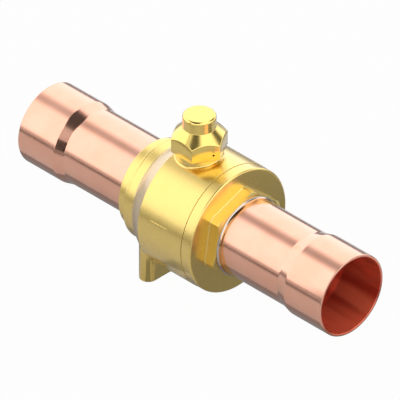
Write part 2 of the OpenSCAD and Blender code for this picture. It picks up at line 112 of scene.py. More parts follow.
# A bright soft room above the horizon, with three dim patches overhead, in front and on the
# left, and one behind on the right. A patch is told by the cosines at its core and its edge.
room_light, least_light = 1.38, 0.09
room_way, room_foot, room_top = (-0.085, 0.062, 1), -0.12, 0.07
patch_ways = ((0.12, -0.45, 0.883), (-0.09, -0.24, 0.966), (-0.308, 0.027, 0.951), (0.295, 0.731, 0.616))
patch_core, patch_edge = 0.985, 0.905
world = bpy.data.worlds.new("studio")
bpy.context.scene.world = world
world.use_nodes = True
tree = world.node_tree
tree.nodes.clear()
direction = add_node(tree, "ShaderNodeTexCoord").outputs["Generated"]


def towards(way, low, high):
    """Smooth step from 0 to 1 as the view direction's part along a way goes from low to high."""
    part = add_node(tree, "ShaderNodeVectorMath", {"operation": "DOT_PRODUCT"}, (direction, way))
    return add_node(tree, "ShaderNodeMapRange", {"interpolation_type": "SMOOTHSTEP"}, Value=part,
                    FromMin=low, FromMax=high, ToMin=0.0, ToMax=1.0)


room = towards(room_way, room_foot, room_top)
for way in patch_ways:
    outside = towards([-part for part in way], -patch_core, -patch_edge)
    room = add_node(tree, "ShaderNodeMath", {"operation": "MULTIPLY"}, (room, outside))
light = add_node(tree, "ShaderNodeMath", {"operation": "MULTIPLY_ADD"}, (room, room_light, least_light))
background = add_node(tree, "ShaderNodeBackground", Color=(1, 1, 1, 1), Strength=light)
add_node(tree, "ShaderNodeOutputWorld", Surface=background)

# Pale floor that shows white to the camera and a little of it in metal, with the valve's shadow.
floor_half, floor_height = 6.0, -0.0005
white_in_view, white_in_metal = 0.97, 0.12
corner_signs = ((-1, -1), (1, -1), (1, 1), (-1, 1))
floor = mesh_object("floor", [(x * floor_half, y * floor_half, floor_height) for x, y in corner_signs],
                    [(0, 1, 2, 3)])
paper, tree = new_material("white paper")
rays = add_node(tree, "ShaderNodeLightPath").outputs
in_view = add_node(tree, "ShaderNodeMath", {"operation": "MULTIPLY"}, (rays["Is Camera Ray"], white_in_view))
in_metal = add_node(tree, "ShaderNodeMath", {"operation": "ADD"},
                    (rays["Is Glossy Ray"], rays["Is Transmission Ray"]))
white_share = add_node(tree, "ShaderNodeMath", {"operation": "MULTIPLY_ADD", "use_clamp": True},
                       (in_metal, white_in_metal, in_view))
sheet = add_node(tree, "ShaderNodeBsdfDiffuse", Color=linear("#bcbcbc"))
white = add_node(tree, "ShaderNodeEmission", Color=(1, 1, 1, 1), Strength=1.0)
mix = add_node(tree, "ShaderNodeMixShader", values=(white_share, sheet, white))
add_node(tree, "ShaderNodeOutputMaterial", Surface=mix)
floor.data.materials.append(paper)

# Cards out of the picture draw the dark lines that bright metal shows. A dim fence stands
# round the valve and shows just under the horizon, dim cards lie under and beside the valve
# as a painted shadow on the floor that only the metal sees, and a black card with a grey one
# over it stands farther off in front.
fence_x, fence_y, fence_foot, front_top, back_top = 0.35, 0.16, 0.016, 0.037, 0.056
lying_lift, lying_step, far_y = 0.0001, 0.00008, -0.6
# Dim cards lying on the floor under and beside the valve: a painted shadow, seen only in the metal.
painted_shadow_cards = (((-0.008, -0.033), (0.008, -0.017), (0.008, 0.038), (-0.008, 0.038)),
               ((0.008, -0.038), (0.17, -0.038), (0.17, 0.038), (0.008, 0.038)),
               ((-0.17, -0.036), (-0.024, -0.036), (-0.024, 0.036), (-0.17, 0.036)),
               ((-0.0125, -0.0365), (-0.0063, -0.06), (0.013, -0.047), (-0.0085, -0.0355)),
               ((0.03, 0.03), (0.18, 0.03), (0.18, 0.12), (0.03, 0.12)))
black_card = ((-0.26, 0), (-0.1, 0), (-0.1, 0.3), (-0.26, 0.3))
grey_card = ((-0.25, 0.3), (-0.13, 0.3), (-0.17, 0.85), (-0.29, 0.85))
fence_low = [(x * fence_x, y * fence_y, fence_foot) for x, y in corner_signs]
fence_high = [(x, y, front_top if y < 0 else back_top) for x, y, _ in fence_low]
card_quads = [(fence_low[k - 1], fence_low[k], fence_high[k], fence_high[k - 1]) for k in range(4)]
card_quads += [[(x, y, floor_height + lying_lift + lying_step * k) for x, y in corners]
               for k, corners in enumerate(painted_shadow_cards)]
card_quads += [[(x, far_y, z) for x, z in corners] for corners in (black_card, grey_card)]
card_places = np.array(card_quads).reshape(-1, 3)
cards = mesh_object("dim_cards", card_places, np.arange(len(card_places)).reshape(-1, 4))
cards.visible_camera = cards.visible_diffuse = cards.visible_shadow = False
for name, strength in (("dim card", 0.24), ("black card", 0.04), ("grey card", 0.6)):
    card, tree = new_material(name)
    glow = add_node(tree, "ShaderNodeEmission", Color=(1, 1, 1, 1), Strength=strength)
    add_node(tree, "ShaderNodeOutputMaterial", Surface=glow)
    cards.data.materials.append(card)
cards.data.polygons[len(card_quads) - 2].material_index = 1
cards.data.polygons[len(card_quads) - 1].material_index = 2


# Forged body
# Brass forging with a turned collar, neck and barrel, the tan forged skin left between
# them, a boss with the threaded spigot on top and a foot with two tapped holes below.

def rounded(corners, steps=5, support=0.12):
    """Line through corners of two measures and a radius, each turned to an arc of its radius.

    The tangent length is the radius divided by the tangent of half the corner's angle, and
    at most 0.45 of a side. A support point on each side of an arc, at most 0.4 of the rest
    of the side away, keeps the long faces beside it flat in shading.
    """
    corners = np.asarray(corners, float)
    points = corners[:, :2]
    out = [points[:1]]
    for before, corner, after, radius in zip(points, points[1:], points[2:], corners[1:-1, 2]):
        to_before, to_after = before - corner, after - corner
        long_before, long_after = np.linalg.norm(to_before), np.linalg.norm(to_after)
        to_before, to_after = to_before / long_before, to_after / long_after
        half = math.acos(float(np.clip(to_before @ to_after, -1, 1))) / 2
        if radius <= 0 or half > math.radians(89):
            out.append(corner[None])
            continue
        reach = min(radius / math.tan(half), 0.45 * long_before, 0.45 * long_after)
        size = reach * math.tan(half)
        middle = to_before + to_after
        centre = corner + middle / np.linalg.norm(middle) * size / math.sin(half)
        start, end = corner + to_before * reach - centre, corner + to_after * reach - centre
        sweep = math.pi - 2 * half
        t = np.linspace(0, 1, steps + 1)[:, None]
        arc = (np.sin((1 - t) * sweep) * start + np.sin(t * sweep) * end) / math.sin(sweep)
        lead = min(support, 0.4 * (long_before - reach))
        tail = min(support, 0.4 * (long_after - reach))
        out.append((corner + to_before * (reach + lead))[None])
        out.append(centre + arc)
        out.append((corner + to_after * (reach + tail))[None])
    out.append(points[-1:])
    return np.concatenate(out)


def raw_mesh(name, places, quads, sharp=50):
    """Smooth mesh object from places in mm and quads, in which a repeated corner makes a triangle.

    All faces turn outward: their volume about the origin, the sum of a . (b x c), is positive.
    Edges sharper than an angle in degrees stay sharp.
    """
    same = quads == np.roll(quads, -1, axis=1)
    repeats = same.sum(1)
    whole = quads[repeats == 0]
    thirds = quads[repeats == 1][~same[repeats == 1]].reshape(-1, 3)
    triangles = np.concatenate([whole[:, [0, 1, 2]], whole[:, [0, 2, 3]], thirds])
    a, b, c = (places[triangles[:, k]] for k in range(3))
    if np.einsum("ij,ij->i", a, np.cross(b, c)).sum() < 0:
        whole, thirds = whole[:, ::-1], thirds[:, ::-1]
    corners = np.concatenate([whole.ravel(), thirds.ravel()])
    sizes = np.repeat([4, 3], [len(whole), len(thirds)])
    obj = mesh_object(name, [], [])
    mesh = obj.data
    mesh.vertices.add(len(places))
    mesh.vertices.foreach_set("co", (places / 1000).astype(np.float32).ravel())
    mesh.loops.add(len(corners))
    mesh.loops.foreach_set("vertex_index", corners.astype(np.int32))
    mesh.polygons.add(len(sizes))
    mesh.polygons.foreach_set("loop_start", (np.cumsum(sizes) - sizes).astype(np.int32))
    mesh.update(calc_edges=True)
    mesh.validate()
    mesh.shade_smooth()
    mesh.set_sharp_from_angle(angle=math.radians(sharp))
    return obj


def grid_mesh(name, points, closed=False, sharp=50):
    """Smooth mesh from a grid of points in mm, whose rows follow each other round in a ring.

    Neighbours in the grid make the faces, and where closed is set the last column joins the
    first. Points that fall together are made one, which closes seams and poles, and faces
    that lose two corners go.
    """
    flat = points.reshape(-1, 3)
    _, first, merged = np.unique(np.round(flat, 4), axis=0, return_index=True, return_inverse=True)
    merged = merged.reshape(points.shape[:2])
    if closed:
        merged = np.concatenate([merged, merged[:, :1]], 1)
    after = np.roll(merged, -1, axis=0)
    quads = np.stack([merged[:, :-1], after[:, :-1], after[:, 1:], merged[:, 1:]], -1)
    return raw_mesh(name, flat[first], quads.reshape(-1, 4), sharp)


def columns(rows, *parts):
    """Grid of a number of rows from parts side by side: numbers, lines that repeat, or grids."""
    grids = [np.atleast_2d(part) for part in parts]
    return np.concatenate([np.broadcast_to(grid, (rows, grid.shape[1])) for grid in grids], 1)


def around(count):
    """Column of even angles once round: angle k is k turns over the count."""
    return np.arange(count)[:, None] * 2 * np.pi / count


def about_pipe(places, radii, angles):
    """Points at places along the pipe axis, radii from it and angles from +Z towards -Y."""
    places, radii, angles = np.broadcast_arrays(places, radii, angles)
    return np.stack([places, -radii * np.sin(angles), axis_height + radii * np.cos(angles)], -1)


def about_stem(radii, heights, angles):
    """Points at radii from the stem axis, heights over the pipe axis and angles from +X."""
    radii, heights, angles = np.broadcast_arrays(radii, heights, angles)
    return np.stack([radii * np.cos(angles), radii * np.sin(angles), axis_height + heights], -1)


def turned_on_pipe(name, profile, segments=256):
    """Closed shape turned about the pipe axis from (place, radius) points in a loop."""
    return grid_mesh(name, about_pipe(profile[:, 0], profile[:, 1], around(segments)), closed=True)


material_slots = {row["node"]: row["material_slot"] for row in frame["record"]["subparts"]}


def finish_piece(obj, body, material, node):
    """Gives a piece its material and its CAD body, and hides the CAD node it stands for."""
    obj.data.materials.clear()
    obj.data.materials.append(material)
    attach(obj, body)
    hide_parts(node)


barrel_r, neck_r, collar_r, thread_bore_r = 44.45, 36.3, 32.0, 39.1
socket_r, bore_r, seat_r, chamber_r = 27.05, 25.0, 31.6, 36.2
body_end, cone_end, cone_start, neck_end, collar_end = 27.1, -12.5, -25.1, -34.2, -42.5
socket_end, seat_floor, seat_end, chamber_end = -31.5, -29.6, -17.0, 14.0
cone_edge, mark_x, mark_half, mark_depth = 0.4, -32.12, 0.12, 0.09
hollow_foot_r, hollow_top_r, hollow_power = neck_r - 0.25, barrel_r - 0.4, 0.68
hollow_x = np.linspace(cone_start + 0.15, cone_end, 24)
hollow_r = hollow_foot_r + (hollow_top_r - hollow_foot_r) * np.linspace(0, 1, 24) ** hollow_power


def body_radius(x):
    """Outer radius of the body at x: the neck, then the forged hollow, then the barrel.

    The hollow starts a small step under the neck and rises as the power 0.68 of the way.
    """
    return np.interp(x, [cone_start, *hollow_x, cone_end + cone_edge], [neck_r, *hollow_r, barrel_r])


# The body's profile as corners of place, radius and rounding, from the joint along the
# outside to the inlet's end and back through socket, seat pocket and chamber. The points
# beside the thin turned mark keep the neck flat in shading.
hollow = np.stack([hollow_x, hollow_r, 0 * hollow_x], -1)[::-1]
hollow[0, 2] = 0.15
body_line = [(body_end, thread_bore_r + 0.5, 0), (body_end, barrel_r, 0.12),
             (cone_end + cone_edge, barrel_r, 0.15), *hollow, (cone_start, neck_r, 0.12),
             (mark_x + 0.42, neck_r, 0), (mark_x + mark_half, neck_r, 0), (mark_x, neck_r - mark_depth, 0),
             (mark_x - mark_half, neck_r, 0), (mark_x - 0.48, neck_r, 0), (neck_end, neck_r, 0.5),
             (neck_end, collar_r, 0.45), (collar_end, collar_r, 0.55), (collar_end, socket_r, 0.25),
             (socket_end, socket_r, 0), (socket_end, bore_r, 0), (seat_floor, bore_r, 0),
             (seat_floor, seat_r, 0), (seat_end, seat_r, 0), (seat_end, chamber_r, 0),
             (chamber_end, chamber_r, 0), (chamber_end, thread_bore_r, 0)]
body_shell = turned_on_pipe("body_shell", rounded(body_line), 288)

# Boss with a fillet on the round of the body, and the spigot with its real thread.
boss_r, boss_fillet, boss_foot, boss_top = 15.5, 1.1, 46.0, 47.7
spigot_r, spigot_top, recess_r, recess_floor = 12.9, 58.0, 10.9, 54.1
stem_bore_r, stem_bore_foot = 7.05, 39.0
thread_pitch, thread_depth, thread_relief, thread_step = 1.5, 0.75, 0.6, 0.1
thread_foot, thread_end, foot_fade, bevel_start, bevel_length = 48.5, 57.4, 0.8, 56.8, 0.55


def thread_wave(along, angles, pitch):
    """Triangular wave of 1, 0 and 1 again along each pitch, which climbs one pitch per turn."""
    wave = (along - pitch * angles / (2 * np.pi)) / pitch
    return np.abs(2 * (wave - np.floor(wave)) - 1)


def boss_and_spigot():
    """Rings about the stem axis from the body's surface up over the spigot and down its bore.

    The fillet at height u of its quarter circle stands at the boss's radius plus f(1 - sin u)
    and rises f(1 - cos u) over the body's round. The thread takes its depth times a wave off
    the spigot's radius. The wave is stretched by 1.25, less 0.12, and held between 0 and 1,
    which leaves flat crests and roots, and it fades at the foot and sinks to a bevel on top.
    """
    segments = 240
    angles = around(segments)
    turn = np.linspace(0, np.pi / 2, 8)
    radii = boss_r + boss_fillet * (1 - np.sin(turn))
    x, y = radii * np.cos(angles), radii * np.sin(angles)
    heights = np.sqrt(body_radius(x) ** 2 - y ** 2) + boss_fillet * (1 - np.cos(turn))
    root_r = spigot_r - thread_relief
    wall = rounded([(boss_r, boss_foot, 0), (boss_r, boss_top, 0.45), (root_r, boss_top, 0.25),
                    (root_r, thread_foot, 0)])
    thread_z = np.arange(thread_foot, thread_end - 0.05, thread_step)
    tooth = np.clip(1.25 * thread_wave(thread_z, angles, thread_pitch) - 0.12, 0, 1)
    fade = np.clip((thread_z - thread_foot) / foot_fade, 0, 1)
    bevel = np.clip((thread_z - bevel_start) / bevel_length, 0, 1)
    thread_r = spigot_r - thread_depth * np.maximum(tooth, bevel * 0.9) * fade - thread_relief * (1 - fade)
    rim = rounded([(spigot_r - 0.7, thread_end, 0), (spigot_r - 1.0, spigot_top, 0.2),
                   (recess_r, spigot_top, 0.25), (recess_r, recess_floor, 0.25),
                   (stem_bore_r, recess_floor, 0.15), (stem_bore_r, stem_bore_foot, 0)])
    rows_r = columns(segments, radii[0], radii[0], radii, wall[:, 0], thread_r, rim[:, 0])
    rows_z = columns(segments, stem_bore_foot, heights[:, :1] - 0.5, heights, wall[:, 1], thread_z,
                     rim[:, 1])
    return grid_mesh("boss_and_spigot", about_stem(rows_r, rows_z, angles), closed=True)


boss = boss_and_spigot()

# Foot: walls round a stadium, filleted into the round above, with two tapped holes below.
foot_x, foot_end_y, foot_half_t, foot_round, foot_bevel = -14.1, 32.7, 6.1, 1.0, 0.4
hole_r, hole_depth, hole_point = 3.35, 13.6, 15.5
hole_pitch, hole_thread_depth, hole_thread_low, hole_thread_high = 1.25, 0.45, 0.7, 13.0
sink_r, sink_depth, sole_edge = 4.2, 0.62, 0.45


def foot_outline():
    """Places on the foot's wall and their directions outward, row by row round the foot.

    One half is a round end and a straight side, and the other is the same turned round.
    """
    turn = np.linspace(0, np.pi, 40)
    side = np.linspace(1, -1, 42)[1:-1]
    out = np.concatenate([np.stack([np.cos(turn), np.sin(turn)], -1), np.tile([-1.0, 0.0], (40, 1))])
    middle_y = foot_end_y * np.concatenate([np.ones(40), side])
    places = foot_half_t * out + middle_y[:, None] * [0, 1]
    return np.concatenate([places, -places]) + [foot_x, 0], np.concatenate([out, -out])


def body_underside(x, y):
    """Height of the body's round over the floor: the axis less the root of r * r - y * y."""
    return axis_height - np.sqrt(np.maximum(body_radius(x) ** 2 - y ** 2, 1.0))


def foot_walls():
    """Rows from inside the body down the fillet and the wall to the bevelled lower edge.

    Fillet and bevel are quarter circles: the wall moves out by f(1 - sin u) and in by
    b(1 - cos v). Both shrink where the body's round comes near the floor.
    """
    places, out = foot_outline()
    ground = body_underside(*places.T)[:, None]
    fillet = np.minimum(foot_round, 0.5 * ground)
    bevel = np.minimum(foot_bevel, 0.3 * ground)
    turn, down = np.linspace(0, np.pi / 2, 8), np.linspace(0, np.pi / 2, 5)
    slide = np.concatenate([fillet * (1 - np.sin(turn)), bevel * (np.cos(down) - 1)], 1)
    slide = np.concatenate([slide[:, :1], slide, slide[:, -1:] - 0.1], 1)
    x, y = np.moveaxis(places[:, None] + out[:, None] * slide[..., None], -1, 0)
    top = body_underside(x[:, 1:9], y[:, 1:9]) - fillet * (1 - np.cos(turn))
    z = columns(len(places), top[:, :1] + 0.6, top, bevel * (1 - np.sin(down)), 0.0)
    return grid_mesh("foot_walls", np.stack([x, y, z], -1), sharp=60)


foot = foot_walls()


def foot_sole(side):
    """Half of the foot's sole with its tapped hole, as rings about the hole's axis.

    The rings run from the deep end of the hole up its thread and countersink and out to
    the edge of the sole: a half circle outward, and straight sides back to the middle,
    where the radius is the distance over the cosine or the sine of the angle.
    """
    segments = 192
    angles = around(segments)
    cos, sin = np.cos(angles), np.sin(angles)
    edge_r = foot_half_t - sole_edge
    back = np.where(sin < 0, foot_end_y / np.maximum(-sin, 1e-6), 1e9)
    across = edge_r / np.maximum(np.abs(cos), 1e-6)
    outer = np.where(sin >= 0, edge_r, np.minimum(across, back))
    depth = np.arange(hole_thread_high, hole_thread_low, -thread_step)
    cut = np.clip(1.2 * thread_wave(depth, side * angles, hole_pitch) - 0.1, 0, 1)
    radii = columns(segments, 0.0, hole_r, hole_r + hole_thread_depth * cut, hole_r + 0.1,
                    sink_r - 0.1, sink_r, outer)
    heights = columns(segments, hole_point, hole_depth, depth, sink_depth, 0.03, 0.0, 0.0)
    places = np.stack([foot_x + radii * cos, side * (foot_end_y + radii * sin), heights], -1)
    return grid_mesh(f"foot_sole_{'left' if side > 0 else 'right'}", places)


soles = [foot_sole(side) for side in (1, -1)]

# Raised arrow on the barrel that shows the direction of flow.
arrow_start, arrow_end, arrow_head, arrow_tilt = -1.5, 14.0, 2.6, math.radians(75.7)
shaft_half, head_half, top_share = 0.35, 1.2, 0.55
arrow_line = np.array([(arrow_start, -shaft_half), (arrow_end - arrow_head, -shaft_half),
                       (arrow_end - arrow_head, -head_half), (arrow_end, 0.0),
                       (arrow_end - arrow_head, head_half), (arrow_end - arrow_head, shaft_half),
                       (arrow_start, shaft_half)])


def stacked_rings(name, rings):
    """Closed mesh from rings of places in mm: walls from ring to ring, and a face at each end."""
    index = np.arange(rings.shape[0] * rings.shape[1]).reshape(rings.shape[:2])
    after = np.roll(index, -1, axis=1)
    walls = np.stack([index[:-1], after[:-1], after[1:], index[1:]], -1).reshape(-1, 4)
    faces = [index[0, ::-1].tolist(), index[-1].tolist(), *walls.tolist()]
    return mesh_object(name, rings.reshape(-1, 3) / 1000, faces)


arrow_x, arrow_turn = arrow_line[:, 0], arrow_line[:, 1] / barrel_r
arrow_rings = [about_pipe(arrow_x, barrel_r + lift, arrow_tilt + share * arrow_turn)
               for lift, share in ((-0.2, 1), (0.1, 1), (0.2, top_share))]
arrow = stacked_rings("flow_arrow", np.stack(arrow_rings))


def grain(tree, place, size_mm, detail=2.0, stretch=(1, 1, 1), spread=None):
    """Noise with spots of a real size in mm, made longer along an axis by its stretch.

    It stays about 0.3 to 0.7, and a spread carries this over to the range it gives.
    """
    scale = [1000 / size_mm / part for part in stretch]
    scaled = add_node(tree, "ShaderNodeMapping", Vector=place, Scale=scale)
    noise = add_node(tree, "ShaderNodeTexNoise", Vector=scaled, Scale=1.0, Detail=detail)
    if spread is None:
        return noise
    return add_node(tree, "ShaderNodeMapRange", Value=noise, FromMin=0.3, FromMax=0.7, ToMin=spread[0],
                    ToMax=spread[1])


def pipe_radius(tree, place):
    """Distance of a place from the pipe axis in metres, as the length of its y and z from it."""
    across = add_node(tree, "ShaderNodeMapping", Vector=place, Location=(0, 0, -axis_height / 1000),
                      Scale=(0, 1, 1))
    return add_node(tree, "ShaderNodeVectorMath", {"operation": "LENGTH"}, (across,))


# Thin clear film that keeps brass and copper bright, and makes them paler at a glancing angle.
clear_film = {"CoatWeight": 1.0, "CoatRoughness": 0.15}
# Setting of a Mix node that mixes colours.
as_colour = {"data_type": "RGBA"}


def turned_brass(name, forged=False, roughness=(0.272, 0.284), marks_mm=0.12):
    """Yellow brass with a satin sheen, drawn out by fine turning marks about the pipe axis.

    Real marks lie some 0.05 mm apart, too fine to show, and are drawn coarser. The forged
    skin is a dull, gritty tan. It lies where x is that of the hollow and the distance from
    the pipe axis is less than the barrel's radius.
    """
    material, tree = new_material(name)
    place = add_node(tree, "ShaderNodeTexCoord").outputs["Object"]
    marks = grain(tree, place, marks_mm, 2, (1, 400, 400))
    blotches = grain(tree, place, 9, 3, spread=(0, 1))
    rough = grain(tree, place, 4, 2, spread=roughness)
    colour = add_node(tree, "ShaderNodeMix", as_colour, (blotches, linear("#f8d97c"), linear("#f6d679")))
    normal = add_node(tree, "ShaderNodeBump", Height=marks, Distance=0.00002 / 1000)
    if forged:
        skin_low, skin_high = (cone_start - 0.6) / 1000, (cone_end + 0.02) / 1000
        x = add_node(tree, "ShaderNodeSeparateXYZ", Vector=place)
        along = add_node(tree, "ShaderNodeMath", {"operation": "COMPARE"},
                         (x, (skin_low + skin_high) / 2, (skin_high - skin_low) / 2))
        within = add_node(tree, "ShaderNodeMath", {"operation": "LESS_THAN"},
                          (pipe_radius(tree, place), barrel_r / 1000))
        skin = add_node(tree, "ShaderNodeMath", {"operation": "MULTIPLY"}, (along, within))
        patches = grain(tree, place, 1.2, 4, spread=(0, 1))
        tan_skin = add_node(tree, "ShaderNodeMix", as_colour,
                            (patches, linear("#e2cdaa"), linear("#d2ba94")))
        colour = add_node(tree, "ShaderNodeMix", as_colour, (skin, colour, tan_skin))
        rough = add_node(tree, "ShaderNodeMix", values=(skin, rough, 0.38))
        grit = add_node(tree, "ShaderNodeMath", {"operation": "MULTIPLY"},
                        (grain(tree, place, 0.35, 4), skin))
        normal = add_node(tree, "ShaderNodeBump", Height=grit, Distance=0.05 / 1000, Normal=normal)
    shader = add_node(tree, "ShaderNodeBsdfPrincipled", BaseColor=colour, Roughness=rough, Metallic=1.0,
                      Normal=normal, **clear_film)
    add_node(tree, "ShaderNodeOutputMaterial", Surface=shader)
    return material


# Barrel, neck and boss are satin beside the tan skin, and the milled foot is glossier.
forged_brass = turned_brass("forged and turned brass", forged=True)
milled_brass = turned_brass("milled brass", roughness=(0.11, 0.15))
for obj in (body_shell, boss, arrow):
    finish_piece(obj, "housing", forged_brass, "valve_body")
for obj in (foot, *soles):
    finish_piece(obj, "housing", milled_brass, "valve_body")


# End connector
# Turned brass connector: a flange with a rounded rim and a polished face, and a hexagon
# with turned-off corners. Its threaded nose is hidden in the body.

def hexagon(flat_r, round_mm, turn_deg, corner_r=math.inf):
    """Angles and radii round a hexagon with rounded corners, which a circle may cut off.

    A cut flat ends at the angle whose cosine is flat_r / corner_r. Along a flat the radius
    is flat_r over the cosine of the angle from its middle. Each flat gets 33 even points,
    up to where its rounding starts.
    """
    sixth = math.pi / 3
    whole = corner_r >= flat_r / math.cos(sixth / 2)
    half = sixth / 2 if whole else math.acos(flat_r / corner_r)
    gap = sixth - 2 * half
    steps = [-half] if whole else [-half, half, half + 0.33 * gap, half + 0.67 * gap]
    turns = (np.arange(6)[:, None] * sixth + steps).ravel()
    corners = np.stack([np.cos(turns), np.sin(turns), round_mm + 0 * turns], -1)
    corners[:, :2] *= flat_r / math.cos(half)
    middle = (corners[-1] + corners[0]) / 2
    line = rounded([middle, *corners, middle], 4, 0.2)[:-1]
    angles = np.mod(np.arctan2(line[:, 1], line[:, 0]), 2 * np.pi)
    flat_end = half - 1.5 * round_mm / flat_r - 0.012
    along = np.linspace(-flat_end, flat_end, 33)
    on_flat = np.mod(along + np.arange(6)[:, None] * sixth, 2 * np.pi)
    off_flat = np.abs(np.mod(angles + sixth / 2, sixth) - sixth / 2) > flat_end + 1e-4
    angles = np.concatenate([angles[off_flat], on_flat.ravel()])
    radii = np.concatenate([np.hypot(*line[off_flat].T), np.tile(flat_r / np.cos(along), 6)])
    order = np.argsort(angles)
    return angles[order, None] + math.radians(turn_deg), radii[order, None]


joint_x, flange_x, outlet_x, nose_end, socket_floor = 27.3, 35.5, 44.0, 29.6, 33.0
flange_r, flange_bore_r, flange_round = 44.2, 27.6, 1.3
hex_flat_r, hex_turned_r, hex_face_r, hex_round, hex_fillet, hex_turn_deg = 28.5, 32.0, 30.0, 0.5, 0.7, 200
flange_line = [(joint_x + 1.7, thread_bore_r - 0.1, 0), (joint_x, thread_bore_r + 0.5, 0),
               (joint_x, flange_r, 0.12), (flange_x, flange_r, flange_round),
               (flange_x, flange_bore_r, 0), (nose_end, flange_bore_r, 0)]
flange = turned_on_pipe("connector_flange", rounded(flange_line, 8), 288)


def connector_hexagon():
    """Columns round the hexagon's outline, from the flange's face out to the bore.

    A column of radius r leaves the flange by a small fillet and meets the chamfer where the
    chamfer's cone, two in radius to one in length, has the same radius r.
    """
    angles, radii = hexagon(hex_flat_r, hex_round, hex_turn_deg, hex_turned_r)
    turn = np.linspace(0, np.pi / 2, 6)
    base_r = radii + hex_fillet * (1 - np.sin(turn))
    base_x = flange_x + hex_fillet * (1 - np.cos(turn))
    meet = outlet_x - np.maximum(0.15, (radii - hex_face_r) / 2)
    face_r = np.minimum(radii, hex_face_r)
    bore = np.array([(outlet_x, socket_r + 0.25), (outlet_x - 0.25, socket_r), (socket_floor, socket_r),
                     (socket_floor, bore_r), (nose_end, bore_r)])
    rows_r = columns(len(radii), base_r[:, :1], base_r, radii, radii, face_r - 0.12, face_r - 0.35,
                     bore[:, 1])
    rows_x = columns(len(radii), flange_x - 0.5, base_x, meet - 0.25, meet, outlet_x - 0.05, outlet_x,
                     bore[:, 0])
    return grid_mesh("connector_hexagon", about_pipe(rows_x, rows_r, angles), closed=True)


connector_hex = connector_hexagon()
satin_brass = turned_brass("satin turned brass", marks_mm=0.1)
for obj in (flange, connector_hex):
    finish_piece(obj, "housing", satin_brass, "end_connector")


# Copper tubes
# Drawn copper tube, 54 mm with a 2 mm wall, widened at the mouth to take the pipe. Both
# are brazed into the brass and are the same but for where they start.

tube_r, mouth_r, mouth_bore_r, flare_start, flare_end, tube_end = 27.0, 29.0, 27.1, 98, 106, 138.4
tube_wall_r, mouth_wall_r, shoulder_gap = 25.8, 27.9, 0.2


def copper_profile(start):
    """Loop of (place, radius) points: out along the tube, over the mouth and back inside.

    The flare between tube and mouth is a straight cone with softly rounded ends.
    """
    return rounded([(start, bore_r, 0), (start, tube_r - 0.2, 0), (start + 0.25, tube_r, 0),
                    (start + 1, tube_r, 0), (start + 8, tube_r, 0), (flare_start, tube_r, 6),
                    (flare_end, mouth_r, 6), (tube_end, mouth_r, 0.5), (tube_end, mouth_bore_r, 0.5),
                    (flare_end, mouth_bore_r, 4), (flare_start, bore_r, 4), (start + 8, bore_r, 0),
                    (start, bore_r, 0)], 6)[:-1]


def drawn_copper():
    """Bright pink copper with faint lengthwise drawing lines, drawn coarser than the real ones.

    Its bore, which is annealed, is red, with darker and lighter streaking along it that is painted
    reflection. It is told by its distance from the pipe axis, which is less than a radius that lies within
    the wall.
    """
    material, tree = new_material("drawn copper")
    place = add_node(tree, "ShaderNodeTexCoord").outputs["Object"]
    lines = grain(tree, place, 0.35, 2, (250, 1, 1))
    clouds = grain(tree, place, 14, 3, spread=(0, 1))
    # Painted reflection: darker and lighter streaking laid along the red of the bore.
    painted_reflection_streaks = grain(tree, place, 12, 1, (9, 1, 1), (-0.4, 1.2))
    polish = grain(tree, place, 6, 3, (6, 1, 1), (0.10, 0.17))
    x = add_node(tree, "ShaderNodeSeparateXYZ", Vector=place)
    far = add_node(tree, "ShaderNodeMath", {"operation": "ABSOLUTE"}, (x,))
    wall = add_node(tree, "ShaderNodeMapRange", Value=far, FromMin=flare_start / 1000,
                    FromMax=flare_end / 1000, ToMin=tube_wall_r / 1000, ToMax=mouth_wall_r / 1000)
    in_bore = add_node(tree, "ShaderNodeMath", {"operation": "LESS_THAN"}, (pipe_radius(tree, place), wall))
    pink = add_node(tree, "ShaderNodeMix", as_colour, (clouds, linear("#fbbca1"), linear("#f7b497")))
    red = add_node(tree, "ShaderNodeMix", as_colour, (painted_reflection_streaks, linear("#ff7c58"), linear("#b8402c")))
    colour = add_node(tree, "ShaderNodeMix", as_colour, (in_bore, pink, red))
    rough = add_node(tree, "ShaderNodeMath", {"operation": "MULTIPLY_ADD"}, (in_bore, -0.02, polish))
    metal = add_node(tree, "ShaderNodeMath", {"operation": "MULTIPLY_ADD"}, (in_bore, -0.5, 1.0))
    normal = add_node(tree, "ShaderNodeBump", Height=lines, Distance=0.0006 / 1000)
    shader = add_node(tree, "ShaderNodeBsdfPrincipled", BaseColor=colour, Roughness=rough, Metallic=metal,
                      Normal=normal, **clear_film)
    add_node(tree, "ShaderNodeOutputMaterial", Surface=shader)
    return material


copper = drawn_copper()
for name, shoulder, sign in (("inlet_tube", -socket_end, -1), ("outlet_tube", socket_floor, 1)):
    tube = turned_on_pipe(name + "_drawn", copper_profile(shoulder + shoulder_gap) * [sign, 1])
    finish_piece(tube, "housing", copper, name)


# Braze rings
# Silver braze that ran in between tube and brass and left a hollow fillet, a little uneven
# in reach as it flowed.

braze_reach, reach_swell, braze_foot, foot_swell, braze_inner_r = 2.75, 0.2, 1.25, 0.06, 26.9
# Radii from the pipe axis over which the braze turns brown: a painted reflection of the brass.
brass_reflection_start_r, brass_reflection_full_r = tube_r + 0.65, tube_r + 0.35


